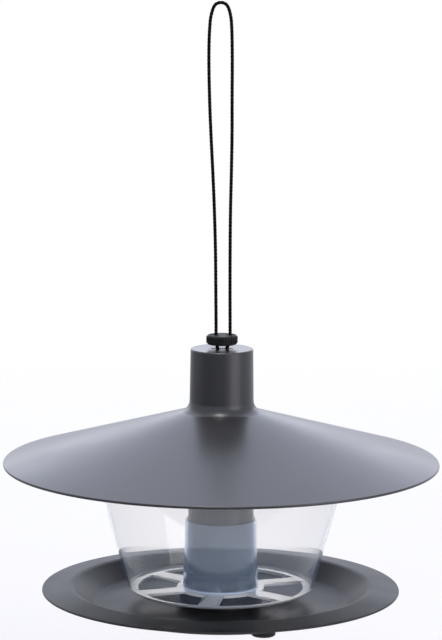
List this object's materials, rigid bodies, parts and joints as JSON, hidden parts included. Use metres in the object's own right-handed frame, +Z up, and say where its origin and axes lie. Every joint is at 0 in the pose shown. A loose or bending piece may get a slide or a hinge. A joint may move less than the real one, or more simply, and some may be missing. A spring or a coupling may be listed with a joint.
{
  "type": "hanging bird feeder",
  "caption": "Hanging bird feeder: wide cone roof with a chimney over a clear seed tub on a round feeding tray, held by a looped cord with a knurled stopper.",
  "frame": {"origin": "hang point, under the top of the cord's loop, on the feeder's upright axis", "axes": "+Z up along the feeder's upright axis; the cord's two legs lie in the XZ plane; -Y is the front"},
  "size_m": [0.3, 0.3, 0.4213],
  "materials": {
    "cord": "braided",
    "stopper_plastic": "moulded, knurled side",
    "roof_plastic": "satin",
    "clear_plastic": "clear, slightly milky",
    "tray_plastic": "satin",
    "foot_rubber": "matte"
  },
  "bodies": {
    "tray_body": {"tray": "tray_plastic", "foot_1": "foot_rubber", "foot_2": "foot_rubber", "foot_3": "foot_rubber", "foot_4": "foot_rubber", "hanging_cord": "cord", "cord_knot": "cord"},
    "container_body": {"seed_container": "clear_plastic"},
    "roof_body": {"roof": "roof_plastic", "roof_chimney": "roof_plastic", "roof_tube": "roof_plastic"},
    "stopper_body": {"cord_stopper": "stopper_plastic"}
  },
  "joints": [
    {"name": "container_lift", "type": "slide", "parent": "tray_body", "child": "container_body", "axis": [0, 0, 1], "range_m": [0, 0.012]},
    {"name": "roof_lift", "type": "slide", "parent": "container_body", "child": "roof_body", "axis": [0, 0, 1], "range_m": [0, 0.08]},
    {"name": "stopper_slide", "type": "slide", "parent": "roof_body", "child": "stopper_body", "axis": [0, 0, 1], "range_m": [0, 0.028]}
  ]
}
